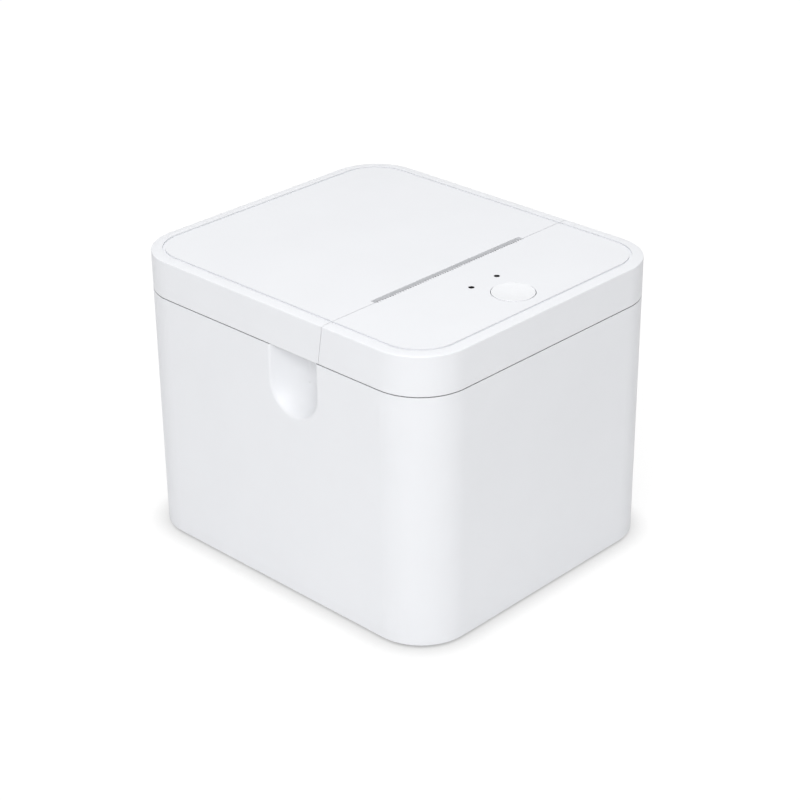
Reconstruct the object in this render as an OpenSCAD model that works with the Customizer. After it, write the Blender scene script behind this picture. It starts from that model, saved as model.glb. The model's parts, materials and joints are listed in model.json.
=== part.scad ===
// Direct thermal label printer for media up to 80 mm wide. Right-handed frame in millimetres:
// X runs to the right as seen from the front, the front faces -Y, Z is up, and the origin is the
// middle of the footprint on the surface that the feet stand on.

/* [Housing] */
// Width of the housing
body_w = 137; // [134:1:160]
// Depth of the housing, front to back
body_d = 157; // [154:1:180]
// Height from the table to the top
overall_h = 121; // [118:1:140]
// Height of the top covers above the seam
lid_h = 16; // [15:0.1:18]
// Radius of the upright corners
corner_r = 21.4; // [14:0.2:26]
// Rounding of the top edge
edge_r = 0.4; // [0.3:0.1:1]
// Width of the rim that curves down to the top edge
rim_w = 3.2; // [2:0.1:3.4]
// Fall of the rim to the top edge
rim_fall = 0.4; // [0.2:0.05:0.6]
// Rounding of the housing's bottom edge
bottom_r = 0.6; // [0.3:0.1:1]
// Rounding of the edges that face each other at the seam
seam_r = 0.15; // [0.1:0.05:0.5]
// Thickness of the side walls
wall = 2.2; // [1.8:0.1:2.8]
// Thickness of the top wall of the covers
top_wall = 2.4; // [2:0.1:3]
// Gap that shows as the seam between covers and housing
seam_gap = 0.35; // [0.2:0.05:0.6]
// Distance of the parting line between the covers, forward of the middle, on top
split_ahead = 29.2; // [26:0.1:32]
// Slant of the parting line from upright
split_slant = 9.1; // [4:0.1:12]
// Gap at the parting line
split_gap = 0.2; // [0.15:0.05:0.6]
// Distance of the top groove's outer edge from the side
groove_in = 4.4; // [3.6:0.1:8]
// Width of the top groove
groove_w = 1.1; // [0.8:0.1:1.8]
// Depth of the top groove
groove_h = 0.7; // [0.4:0.1:1]

/* [Thumb scoops] */
// Width of the scoop at the wall's face
scoop_w = 24.4; // [20:0.2:28]
// Depth of the scoop into the side
scoop_in = 8; // [5:0.5:9]
// Height of the scoop from its lowest point to the seam
scoop_h = 26.6; // [20:0.2:32]
// Rounding of the scoop's rim
scoop_edge = 1.6; // [0.8:0.1:2]
// Distance of the scoop's middle ahead of the housing's middle
scoop_ahead = 12.9; // [10:0.1:14]
// Wall left behind the scoop
scoop_wall = 2; // [1.4:0.1:2.4]

/* [Base] */
// Clear height of the housing's lower edge above the table
foot_proud = 1; // [0.6:0.1:2]
// Radius of a rubber foot
foot_r = 7; // [5:0.5:9]
// Thickness of the base plate
base_t = 2.4; // [2:0.1:3.2]
// How far the base plate sits up inside the housing
base_up = 0.8; // [0.4:0.1:1.2]
// Distance of the feet from the sides
foot_in = 17; // [14:0.5:22]
// Clearance of plates that drop into the housing
drop_gap = 0.25; // [0.15:0.05:0.4]

/* [Hinge] */
// Distance of the hinge axis from the back and from the seam
hinge_in = 5; // [4.6:0.1:5.4]
// Radius of the hinge pins
pin_r = 1.25; // [1:0.05:1.4]
// Wall of the hinge eyes round the pins
eye_wall = 1.25; // [1:0.05:1.3]
// Distance of each hinge from the middle
hinge_x = 38; // [34:0.5:40]
// Width of a hinge ear
ear_w = 8; // [6:0.5:9]
// Width of a knuckle on the rear cover
knuckle_w = 3; // [2:0.5:4]
// Running clearance of pins and shafts in their bores
run_gap = 0.05; // [0.03:0.01:0.08]

/* [Printing mechanism] */
// Widest media
media_w = 80; // [76:1:82]
// Radius of the platen roller
platen_r = 5.5; // [5:0.1:6]
// Radius of the steel shaft in the platen
shaft_r = 2.5; // [2:0.1:3]
// Distance of the platen's axis below the top
platen_down = 12; // [11.6:0.1:12.6]
// Radius of the bushes that seat in the side frames
bush_r = 4.5; // [4:0.1:5]
// Clearance of the bushes in their notches
notch_gap = 0.15; // [0.1:0.05:0.3]
// Thickness of the side frames' steel
frame_t = 1.5; // [1.2:0.1:1.8]
// Thickness of the print head's ceramic
head_t = 1; // [0.8:0.1:1.4]
// Thickness of the heat sink behind it
sink_t = 3; // [2.4:0.1:3.6]
// Height of the glaze ridge that carries the heating dots
glaze_proud = 0.08; // [0.04:0.01:0.1]
// Gap between head and platen, the thickness of a label
nip_gap = 0.15; // [0.1:0.05:0.25]
// Height of the heat sink
sink_h = 24; // [20:1:26]
// Width of the paper slot's opening, front to back
slot_d = 2.4; // [2:0.1:4.2]
// Thickness of the rear cover's lip at the slot
slot_lip = 1.4; // [1:0.1:2]
// Spare width of the slot beside the media, each side
slot_spare = 1.4; // [1:0.1:2]
// Number of tear teeth
teeth = 61; // [40:1:70]
// Depth of the tear teeth
tooth_in = 0.7; // [0.5:0.1:0.9]

/* [Gear train] */
// Module of all gears
gear_m = 0.8; // [0.76:0.01:0.82]
// Teeth of the platen gear
platen_n = 17; // [17:1:18]
// Teeth of the idler gear
idler_n = 24; // [23:1:25]
// Teeth of the reduction gear's small wheel
small_n = 20; // [19:1:21]
// Teeth of the reduction gear's large wheel
large_n = 38; // [36:1:38]
// Teeth of the motor pinion
pinion_n = 14; // [14:1:15]
// Width of a gear's teeth
gear_w = 2.8; // [2.4:0.1:3]
// Play between meshing teeth
backlash = 0.16; // [0.1:0.02:0.24]
// Radius of the motor
motor_r = 17.5; // [15:0.5:18]
// Length of the motor's body
motor_l = 21; // [18:1:24]

/* [Media bay] */
// Radius of the trough that the roll lies in
bay_r = 39; // [36:0.5:40]
// Thickness of the trough and its cheeks
bay_t = 2; // [1.6:0.1:2.4]
// Distance of the trough's middle behind the housing's middle
bay_back = 24; // [22:0.5:25]
// Height of the trough's axis above the table
bay_up = 58; // [56:0.5:62]
// Width between the trough's cheeks
bay_w = 89; // [88:0.5:90]
// Distance of the deck's face below the seam
deck_down = 2.3; // [1.5:0.1:4]
// Thickness of a media guide
guide_t = 2.5; // [2:0.1:3]
// Travel of each media guide
guide_travel = 27; // [20:1:28]
// Teeth of the pinion between the guides' racks
rack_n = 20; // [18:1:20]

/* [Controls and electronics] */
// Radius of the feed button
button_r = 8.35; // [7:0.05:9]
// Distance of the button ahead of the housing's middle
button_ahead = 60; // [56:0.1:61]
// How far the button stands proud of the top
button_proud = 0.4; // [0.2:0.1:0.8]
// Travel of the feed button
button_travel = 0.6; // [0.4:0.1:0.8]
// Gap round the button
button_gap = 0.25; // [0.15:0.05:0.4]
// Width of the button's flange under the cover
button_flange = 1; // [0.6:0.1:1]
// Radius of the two lamp holes
lamp_r = 1.2; // [1:0.1:1.6]
// Depth of the lamp windows below the top
lamp_sink = 0.55; // [0.3:0.05:1.2]
// Distance between the lamp windows
lamp_pitch = 14.3; // [10:0.1:18]
// Distance of the lamps ahead of the housing's middle
lamp_ahead = 45.7; // [44:0.1:46.5]
// Thickness of the circuit boards
board_t = 1.6; // [1:0.1:2]
// Width of the power switch's opening
switch_w = 13; // [11:0.5:15]
// Height of the power switch's opening
switch_h = 8.6; // [7.6:0.2:10]
// Tilt of the power rocker between its two positions
rocker_tilt = 14; // [10:1:16]

/* [Hidden] */
$fn = 64;
eps = 0.01;
span = 400; // a length beyond every piece, for cutting blocks

// Levels and faces of the housing
top_z = overall_h;
seam_z = overall_h - lid_h;
rim_z = seam_z - seam_gap;
under_z = top_z - top_wall;
front_y = -body_d / 2;
back_y = body_d / 2;
side_x = body_w / 2;
in_w = body_w - 2 * wall;
in_d = body_d - 2 * wall;
in_r = corner_r - wall;
base_z = foot_proud + base_up;
floor_z = base_z + base_t;
ledge_t = 1.8;
slot_w = media_w + 2 * slot_spare;
slot_back_y = -split_ahead + slot_d;
slot_lean = slot_lip / 6;

// Thumb scoops: a round-ended cutter whose axis stands outside the wall
scoop_r = (pow(scoop_w / 2, 2) + pow(scoop_in, 2)) / (2 * scoop_in);
scoop_x = side_x + scoop_r - scoop_in;
scoop_z = seam_z - scoop_h + scoop_w / 2;

// Hinge
hinge_y = back_y - hinge_in;
hinge_z = seam_z + hinge_in;
eye_r = pin_r + eye_wall;
post_t = 3;
post_y = hinge_y - hinge_in - 0.3 - post_t;
knuckle_gap = 0.3;
knuckle_x = ear_w / 2 + knuckle_gap;

// Media bay
bay_y = bay_back;
bay_z = bay_up;
cheek_x = bay_w / 2 + bay_t;
deck_z = seam_z - deck_down;
bay_front = bay_y - bay_r - bay_t;
bay_rear = bay_y + bay_r + bay_t;

// Printing mechanism
frame_x = cheek_x + 0.5;
gear_x = frame_x + frame_t + 0.7;
outer_x = gear_x + gear_w + 0.4;
platen_z = top_z - platen_down;
head_y = -split_ahead + 1.85;
platen_y = head_y + nip_gap + platen_r;
sink_y = head_y - head_t;
head_above = 6;
sink_z = platen_z + head_above - sink_h;
pivot_y = sink_y - sink_t - 2.5;
pivot_z = sink_z + 1.5;
pivot_r = 1.5;
spring_y = sink_y - sink_t - 7;
arm_in = slot_w / 2 + 1.8;
arm_t = frame_x - arm_in - 1;
roller_l = slot_w + 1.2;
head_w = slot_w + 2;

// Gear centres: the idler hangs straight below the platen, so that the platen lifts out of mesh
idler_z = platen_z - pitch(platen_n, idler_n);
reduction_dy = -6;
reduction_y = platen_y + reduction_dy;
reduction_z = idler_z - sqrt(pow(pitch(idler_n, small_n), 2) - pow(reduction_dy, 2));
motor_dy = -12.5;
motor_y = reduction_y + motor_dy;
motor_z = reduction_z - sqrt(pow(pitch(large_n, pinion_n), 2) - pow(motor_dy, 2));
stud_r = 1.5;
motor_shaft_r = 1.5;

// Each wheel is turned so that its teeth meet the gaps of the one before
platen_turn = -90;
idler_turn = meshed(platen_turn, platen_n, idler_n, -90);
small_turn = meshed(idler_turn, idler_n, small_n, atan2(reduction_z - idler_z, reduction_dy));
pinion_turn = meshed(small_turn, large_n, pinion_n, atan2(motor_z - reduction_z, motor_dy));

// Guides and racks
guide_x = media_w / 2;
rack_pitch_r = gear_m * rack_n / 2;
rack_h = 3.2;
rack_z = bay_z - bay_r - bay_t - 1.4 - rack_h;
rack_back = 3.4;
neck_w = 4;
neck_y = rack_pitch_r + gear_m + rack_back / 2;
neck_x = guide_x + guide_t / 2;
slot_play = 0.5;

// Controls
panel_z = under_z - 10.4;
board_w = 60;
rib_in = 4; // reach of the front cover's ribs behind its wall
board_front = front_y + wall + rib_in + 0.5;
board_back = -lamp_ahead + 2;
board_screw_r = 1.1;
cap_z = under_z - 1.2;
tact_w = 6.2;
tact_h = 3.5;
plunger_r = 1.7;
plunger_top = panel_z + tact_h + 1.2;
boss_r = 2.8;

// Main board and rear connectors
main_z = floor_z + 2.2;
main_top = main_z + board_t;
main_w = 80;
main_front = bay_front + 8;
main_back = back_y - wall - 1.6;
jack_x = 27;
jack_size = [9, 14, 11];
jack_hole_r = 2.75;
jack_hole_d = 9.5;
jack_pin_r = 1;
usb_x = 2;
usb_size = [12, 16, 10.8];
switch_x = -26;
switch_z = main_top + 11;
switch_l = 11;

function pitch(a, b) = gear_m * (a + b) / 2;
// Turn of wheel b, with b_n teeth, that meshes with wheel a in the direction dir from a to b
function meshed(a_turn, a_n, b_n, dir) = dir + 180 - (a_turn - dir) * a_n / b_n + 180 / b_n;

// ---- shared forms ----

// Rounded rectangle about the origin
module plan(w, d, r) {
  square([w, d - 2 * r], center = true);
  square([w - 2 * r, d], center = true);
  for (x = [-1, 1], y = [-1, 1])
    translate([x * (w / 2 - r), y * (d / 2 - r)]) circle(r);
}

// Upright slab with the rounded plan
module slab(w, d, r, z0, z1) {
  translate([0, 0, z0]) linear_extrude(z1 - z0) plan(w, d, r);
}

// Strip from x = 0 to r, with its upper corner rounded by f and its lower one by g; the last
// rim of its top curves down by fall
module rounded_strip(r, f, g, h, rim, fall) {
  crown_r = rim > 0 ? (rim * rim + fall * fall) / (2 * fall) : 1;
  corner_z = rim > 0 ? h - crown_r + sqrt(pow(crown_r - f, 2) - pow(rim - f, 2)) : h - f;
  translate([0, g]) square([r, corner_z - g]);
  translate([0, h / 2]) square([r - max(rim, f), h / 2]);
  square([r - g, h / 2]);
  if (rim > 0) intersection() {
    translate([r - rim, h - crown_r]) circle(crown_r);
    translate([r - rim, h / 2]) square([crown_r * (rim - f) / (crown_r - f), h / 2]);
  }
  intersection() {
    union() {
      translate([r - f, corner_z]) circle(f);
      translate([r - g, g]) circle(g);
    }
    square([r, h]);
  }
}

// Upright column with that outline
module round_column(r, f, g, h, rim = 0, fall = 0) {
  rotate_extrude() rounded_strip(r, f, g, h, rim, fall);
}

// Bar along X with that outline on both sides
module round_bar(length, half, f, g, h, rim, fall) {
  rotate([90, 0, 90]) translate([0, 0, -length / 2]) linear_extrude(length) {
    rounded_strip(half, f, g, h, rim, fall);
    mirror([1, 0]) rounded_strip(half, f, g, h, rim, fall);
  }
}

// Block with that outline and corners of radius r
module round_block(w, d, r, f, g, h, rim = 0, fall = 0) {
  for (x = [-1, 1], y = [-1, 1])
    translate([x * (w / 2 - r), y * (d / 2 - r), 0]) round_column(r, f, g, h, rim, fall);
  round_bar(w - 2 * r, d / 2, f, g, h, rim, fall);
  rotate(90) round_bar(d - 2 * r, w / 2, f, g, h, rim, fall);
}

// Box by its lowest and highest corners
module box(a, b) {
  translate(a) cube([b[0] - a[0], b[1] - a[1], b[2] - a[2]]);
}

// Outline in the Y-Z plane, extruded from x0 to x1
module side_profile(x0, x1) {
  translate([x0, 0, 0]) rotate([90, 0, 90]) linear_extrude(x1 - x0) children();
}

// Rod along X
module rod(x0, x1, y, z, r) {
  translate([x0, y, z]) rotate([0, 90, 0]) cylinder(h = x1 - x0, r = r);
}

// Rod along Z
module post(x, y, z0, z1, r) {
  translate([x, y, z0]) cylinder(h = z1 - z0, r = r);
}

// Its children on both sides of the housing's middle
module both_sides() {
  children();
  mirror([1, 0, 0]) children();
}

// Everything ahead of the parting line, or behind it with its gap
module ahead_of_split() {
  translate([0, -split_ahead, top_z]) rotate([split_slant, 0, 0])
    translate([-span / 2, -span, -span / 2]) cube(span);
}

module behind_split() {
  translate([0, -split_ahead + split_gap, top_z]) rotate([split_slant, 0, 0])
    translate([-span / 2, 0, -span / 2]) cube(span);
}

// Shell that both covers are parts of, with the groove round its top
module cover_shell() {
  difference() {
    translate([0, 0, seam_z]) round_block(body_w, body_d, corner_r, edge_r, seam_r, lid_h, rim_w, rim_fall);
    slab(in_w, in_d, in_r, seam_z - 1, under_z);
    groove();
  }
}

module groove() {
  g0 = 2 * groove_in;
  g1 = g0 + 2 * groove_w;
  translate([0, 0, top_z - groove_h]) linear_extrude(groove_h + 1) difference() {
    plan(body_w - g0, body_d - g0, corner_r - groove_in);
    plan(body_w - g1, body_d - g1, corner_r - groove_in - groove_w);
  }
}

// Screw with a domed head, standing head down on z0
module screw_up(x, y, z0, head_r, head_h, shank_r, length) {
  translate([x, y, z0]) {
    difference() {
      cylinder(h = head_h, r = head_r);
      translate([0, 0, -eps]) cylinder(h = head_h / 2, r = head_r * 0.45, $fn = 6);
    }
    translate([0, 0, head_h - eps]) cylinder(h = length + eps, r = shank_r);
  }
}

// Involute gear outline
function inv_angle(r, rb) = r <= rb ? 0 : sqrt(pow(r / rb, 2) - 1) * 180 / PI - acos(rb / r);
function polar(r, a) = [r * cos(a), r * sin(a)];

module gear_outline(n, turn) {
  pressure = 20;
  rp = gear_m * n / 2;
  rb = rp * cos(pressure);
  ra = rp + 0.82 * gear_m;
  rr = rp - 1.15 * gear_m;
  half = 90 / n + inv_angle(rp, rb) - backlash * 45 / (PI * rp);
  steps = 4;
  start = max(rb, rr);
  flank = [for (i = [0:steps]) let (r = start + (ra - start) * i / steps) [r, half - inv_angle(r, rb)]];
  root = rr < rb ? [[rr, half * 0.86]] : [];
  side = concat(root, flank);
  count = len(side);
  polygon([for (k = [0:n - 1]) let (a = turn + k * 360 / n)
    each concat([for (i = [0:count - 1]) polar(side[i][0], a - side[i][1])],
      [for (i = [count - 1:-1:0]) polar(side[i][0], a + side[i][1])])]);
}

// Gear with its axis along X
module gear_x(n, turn, x0, x1, y, z) {
  translate([0, y, z]) side_profile(x0, x1) gear_outline(n, turn);
}

// ---- housing ----

module scoop_form(extra) {
  translate([scoop_x, -scoop_ahead, scoop_z]) {
    cylinder(h = span, r = scoop_r + extra);
    sphere(scoop_r + extra);
  }
}

// Section across the scoop, depth along Y, with its rim rounded where it meets the wall's face
rim_in = scoop_r - scoop_in;
rim_y = sqrt(pow(scoop_r + scoop_edge, 2) - pow(rim_in + scoop_edge, 2));
module scoop_section() {
  touch = scoop_r / (scoop_r + scoop_edge);
  circle(scoop_r);
  difference() {
    polygon([[0, rim_in - 1], [rim_y, rim_in - 1], [rim_y, rim_in],
      [rim_y * touch, (rim_in + scoop_edge) * touch], [0, (rim_in + scoop_edge) * touch]]);
    translate([rim_y, rim_in + scoop_edge]) circle(scoop_edge);
  }
}

// Cutter of the scoop: straight up, with a round lower end
module scoop_cut() {
  translate([scoop_x, -scoop_ahead, scoop_z]) {
    linear_extrude(span) rotate(90) {
      scoop_section();
      mirror([1, 0]) scoop_section();
    }
    rotate([0, -90, 0]) rotate(90) rotate_extrude(angle = 180) intersection() {
      scoop_section();
      translate([0, -span]) square([span, 2 * span]);
    }
  }
}

// Cranked hinge ear: it stands ahead of the rear cover's rolled edge and reaches back over it
module hinge_ear() {
  x0 = hinge_x - ear_w / 2;
  x1 = hinge_x + ear_w / 2;
  difference() {
    side_profile(x0, x1) {
      translate([post_y, rim_z - 24]) square([back_y - wall - post_y + eps, 24 - 0.1]);
      translate([post_y, rim_z - 10]) square([post_t, hinge_z + eye_r - rim_z + 10]);
      translate([post_y, hinge_z + 0.4]) square([hinge_y - post_y, eye_r - 0.4]);
      translate([hinge_y, hinge_z]) circle(eye_r);
    }
    rod(x0 - 1, x1 + 1, hinge_y, hinge_z, pin_r);
  }
}

boss_in = 6.4;
screw_spots = [for (s = [-1, 1]) each [[s * (side_x - foot_in - 12), front_y + wall + boss_in],
  [s * (side_x - wall - boss_in), 40]]];
boss_h = 18;
base_boss_r = 3.4;

module lower_housing() {
  color("white") {
    difference() {
      union() {
        difference() {
          translate([0, 0, rim_z]) mirror([0, 0, 1])
            round_block(body_w, body_d, corner_r, bottom_r, seam_r, rim_z - foot_proud);
          slab(in_w, in_d, in_r, 0, top_z);
        }
        // Ledge that the base plate stops against
        difference() {
          slab(in_w + eps, in_d + eps, in_r, floor_z, floor_z + ledge_t);
          slab(in_w - 2 * ledge_t, in_d - 2 * ledge_t, in_r - ledge_t, floor_z - 1, floor_z + 4);
        }
        // Walls behind the thumb scoops
        both_sides() intersection() {
          scoop_form(scoop_wall);
          box([0, -span / 2, 0], [side_x - wall / 2, span / 2, rim_z]);
        }
        // Bosses for the base screws, joined to the walls by webs
        for (p = screw_spots) {
          post(p[0], p[1], floor_z, floor_z + boss_h, base_boss_r);
          if (p[1] < 0) box([p[0] - 1, front_y + wall - eps, floor_z], [p[0] + 1, p[1], floor_z + boss_h]);
          else box([min(p[0], sign(p[0]) * (side_x - wall + eps)), p[1] - 1, floor_z],
            [max(p[0], sign(p[0]) * (side_x - wall + eps)), p[1] + 1, floor_z + boss_h]);
        }
        // Ribs that carry the deck of the media bay
        both_sides() for (y = [12, 42])
          box([side_x - wall - 5, y, deck_z - bay_t - 14],
            [side_x - wall + eps, y + 1.8, deck_z - bay_t]);
        for (s = [-1, 1]) translate([s * 20, 0, 0])
          box([-0.9, back_y - wall - 5, deck_z - bay_t - 14], [0.9, back_y - wall + eps, deck_z - bay_t]);
        both_sides() hinge_ear();
        // Ledge that closes the view under the rear cover's rolled edge
        box([-(side_x - corner_r), post_y + post_t - eps, rim_z - ledge_t],
          [side_x - corner_r, back_y - wall + eps, rim_z]);
        // Tongue that locates the front cover
        tongue();
      }
      both_sides() scoop_cut();
      for (p = screw_spots) post(p[0], p[1], floor_z - 1, floor_z + boss_h - 2, 1.3);
      rear_cutouts();
    }
  }
}

tongue_gap = 0.2;
tongue_t = 1.6;
tongue_up = 2.6;
tongue_back = 32;
module tongue() {
  difference() {
    intersection() {
      slab(in_w - 2 * tongue_gap, in_d - 2 * tongue_gap, in_r - tongue_gap, rim_z - 8, rim_z + tongue_up);
      box([-span / 2, -span / 2, 0], [span / 2, -tongue_back, span]);
    }
    slab(in_w - 2 * tongue_gap - 2 * tongue_t, in_d - 2 * tongue_gap - 2 * tongue_t,
      in_r - tongue_gap - tongue_t, 0, span);
  }
  // Root that joins the tongue to the wall, below the seam
  difference() {
    intersection() {
      slab(in_w + eps, in_d + eps, in_r, rim_z - 8, rim_z - 5);
      box([-span / 2, -span / 2, 0], [span / 2, -tongue_back, span]);
    }
    slab(in_w - 2 * tongue_gap - 2 * tongue_t + eps, in_d - 2 * tongue_gap - 2 * tongue_t + eps,
      in_r - tongue_gap - tongue_t, 0, span);
  }
}

port_gap = 0.3;
module rear_cutouts() {
  y0 = back_y - wall - 2;
  box([jack_x - jack_size[0] / 2 - port_gap, y0, main_top - port_gap],
    [jack_x + jack_size[0] / 2 + port_gap, back_y + 1, main_top + jack_size[2] + port_gap]);
  box([usb_x - usb_size[0] / 2 - port_gap, y0, main_top - port_gap],
    [usb_x + usb_size[0] / 2 + port_gap, back_y + 1, main_top + usb_size[2] + port_gap]);
  box([switch_x - switch_w / 2, y0, switch_z - switch_h / 2],
    [switch_x + switch_w / 2, back_y + 1, switch_z + switch_h / 2]);
}

module front_cover() {
  color("white") difference() {
    union() {
      intersection() {
        cover_shell();
        ahead_of_split();
      }
      // Ribs that rest on the tongue
      for (s = [-1, 1]) {
        box([s * rib_x - 1, front_y + wall - eps, rim_z + tongue_up],
          [s * rib_x + 1, front_y + wall + rib_in, under_z + eps]);
        box([s * (side_x - wall - 2) - 2 - eps, -48, rim_z + tongue_up],
          [s * (side_x - wall - 2) + 2 + eps, -46, under_z + eps]);
      }
      for (p = panel_spots) post(p[0], p[1], panel_z + board_t, under_z + eps, boss_r);
    }
    post(0, -button_ahead, under_z - 1, top_z + 1, button_r + button_gap);
    for (s = [-1, 1]) post(s * lamp_pitch / 2, -lamp_ahead, under_z - 1, top_z + 1, lamp_r);
    for (p = panel_spots) post(p[0], p[1], panel_z, under_z - 1, board_screw_r);
    // Rebate for the tear bar
    box([-slot_w / 2, -split_ahead - tear_d, top_z - tear_h], [slot_w / 2, 0, top_z + 1]);
  }
}
rib_x = board_w / 2;
panel_spots = [for (x = [-1, 1], y = [board_front + 4, board_back - 4]) [x * (board_w / 2 - 4), y]];

tear_d = 1.5;
tear_h = 1.6;
tooth_root = 0.5; // the roots lie this far ahead of the parting line
// Comb whose teeth face the slot
module tear_bar() {
  step = slot_w / teeth;
  color("whitesmoke") translate([-slot_w / 2, -split_ahead, top_z - tear_h]) linear_extrude(tear_h)
    polygon(concat([[0, -tear_d], [0, -tooth_root]],
      [for (i = [0:teeth - 1], p = [[0, 0], [0.5, tooth_in]])
        if (i > 0 || p[0] > 0) [(i + p[0]) * step, p[1] - tooth_root]],
      [[slot_w, -tooth_root], [slot_w, -tear_d]]));
}

vent_slots = 8;
vent_pitch = 6;
vent_w = 2.2;
vent_l = 24;
vent_front = front_y + 20.5;
screw_hole_r = 1.7;
frame_hole_r = 1.6;
head_sink = 1.2;
module base_plate() {
  color("gainsboro") difference() {
    slab(in_w - 2 * drop_gap, in_d - 2 * drop_gap, in_r - drop_gap, base_z, floor_z);
    for (x = [-1, 1], y = [-1, 1])
      post(x * (side_x - foot_in), y * (back_y - foot_in), base_z - 1, base_z + foot_sink, foot_r + 0.3);
    for (p = screw_spots) {
      post(p[0], p[1], base_z - 1, floor_z + 1, screw_hole_r);
      post(p[0], p[1], base_z - 1, base_z + head_sink, screw_head_r + 0.4);
    }
    for (p = frame_spots) {
      post(p[0], p[1], base_z - 1, floor_z + 1, frame_hole_r);
      post(p[0], p[1], base_z - 1, base_z + head_sink, frame_head_r + 0.3);
    }
    for (i = [0:vent_slots - 1])
      translate([(i - (vent_slots - 1) / 2) * vent_pitch, vent_front, base_z - 1])
        linear_extrude(base_t + 2) {
          translate([-vent_w / 2, 0]) square([vent_w, vent_l]);
          circle(vent_w / 2);
          translate([0, vent_l]) circle(vent_w / 2);
        }
  }
  // Pillars under the main board
  color("gainsboro") for (p = pillar_spots) post(p[0], p[1], floor_z - eps, main_z, 3);
}
foot_sink = 0.8;
pillar_spots = [for (x = [-1, 1], y = [main_front + 4, main_back - 12]) [x * (main_w / 2 - 4), y]];

module rubber_feet() {
  color("dimgray") for (x = [-1, 1], y = [-1, 1])
    translate([x * (side_x - foot_in), y * (back_y - foot_in), 0]) {
      cylinder(h = 0.6, r1 = foot_r - 0.6, r2 = foot_r);
      translate([0, 0, 0.6]) cylinder(h = base_z + foot_sink - 0.6, r = foot_r);
    }
}

screw_head_r = 3;
screw_shank_r = 1.3;
boss_grip = 11;
module base_screws() {
  color("silver") for (p = screw_spots)
    screw_up(p[0], p[1], base_z, screw_head_r, head_sink, screw_shank_r, base_t + boss_grip);
}

// ---- media bay ----

module trough_outline(r) {
  translate([bay_y, bay_z]) circle(r);
  translate([bay_y - r, bay_z]) square([2 * r, deck_z - bay_z]);
}

lip_z = platen_z - platen_r - 5;
lip_front = head_y + 0.8;
lip_r = 1.4;
module media_bay() {
  color("dimgray") difference() {
    union() {
      // Trough with cheeks
      side_profile(-cheek_x, cheek_x) difference() {
        trough_outline(bay_r + bay_t);
        trough_outline(bay_r);
        translate([bay_front - 1, lip_z]) square([bay_r, span]);
        // Open above the deck
        translate([bay_front - 1, deck_z]) square([bay_rear - bay_front + 2, span]);
      }
      both_sides() side_profile(bay_w / 2, cheek_x) {
        translate([bay_front, floor_z]) square([bay_rear - bay_front, deck_z - floor_z]);
      }
      // Lip that leads the media to the head
      side_profile(-cheek_x, cheek_x) {
        translate([lip_front + lip_r, lip_z - 2 * lip_r])
          square([bay_front + bay_t - lip_front - lip_r, 2 * lip_r]);
        translate([lip_front + lip_r, lip_z - lip_r]) circle(lip_r);
      }
      deck();
      post(0, bay_y, rack_z - 0.3, bay_z - bay_r - bay_t / 2, 2);
    }
    // Ways for the guides' necks
    guide_way(-1);
    guide_way(1);
    post(0, bay_y, rack_z - 1, bay_z - bay_r - bay_t, 0.9);
    // Window for the gap sensor
    box([-6, lip_front + 3, lip_z - 2 * lip_r - 1], [6, lip_front + 7, lip_z + 1]);
  }
}

module guide_way(s) {
  x0 = guide_x - guide_travel - slot_play;
  x1 = guide_x + guide_t + slot_play;
  y = bay_y + s * neck_y;
  box([min(s * x0, s * x1), y - neck_w / 2 - slot_play, 0],
    [max(s * x0, s * x1), y + neck_w / 2 + slot_play, bay_z - bay_r + 6]);
}

deck_front = -8;
module deck() {
  difference() {
    intersection() {
      slab(in_w - 2 * drop_gap, in_d - 2 * drop_gap, in_r - drop_gap, deck_z - bay_t, deck_z);
      box([-span / 2, deck_front, 0], [span / 2, span / 2, span]);
    }
    box([-cheek_x + eps, -span / 2, 0], [cheek_x - eps, bay_rear - eps, span]);
    both_sides() {
      post(scoop_x, -scoop_ahead, 0, span, scoop_r + scoop_wall + 0.4);
      box([hinge_x - ear_w / 2 - 0.4, post_y - 0.2, 0], [hinge_x + ear_w / 2 + 0.4, span / 2, span]);
    }
  }
}

module bay_screws() {
  color("silver") translate([0, bay_y, rack_z - 0.3]) mirror([0, 0, 1]) {
    cylinder(h = 1.2, r = 3.2);
    translate([0, 0, -4]) cylinder(h = 4 + eps, r = 0.9);
  }
}

// ---- media guides ----

module rack_teeth(n, from) {
  p = PI * gear_m;
  slope = tan(20);
  a = 0.82 * gear_m;
  d = 1.15 * gear_m;
  play = backlash / 4;
  for (i = [0:n - 1]) translate([from + i * p, 0])
    polygon([[-p / 4 + play - d * slope, -d - 0.2], [p / 4 - play + d * slope, -d - 0.2],
      [p / 4 - play - a * slope, a], [-p / 4 + play + a * slope, a]]);
}

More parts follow.
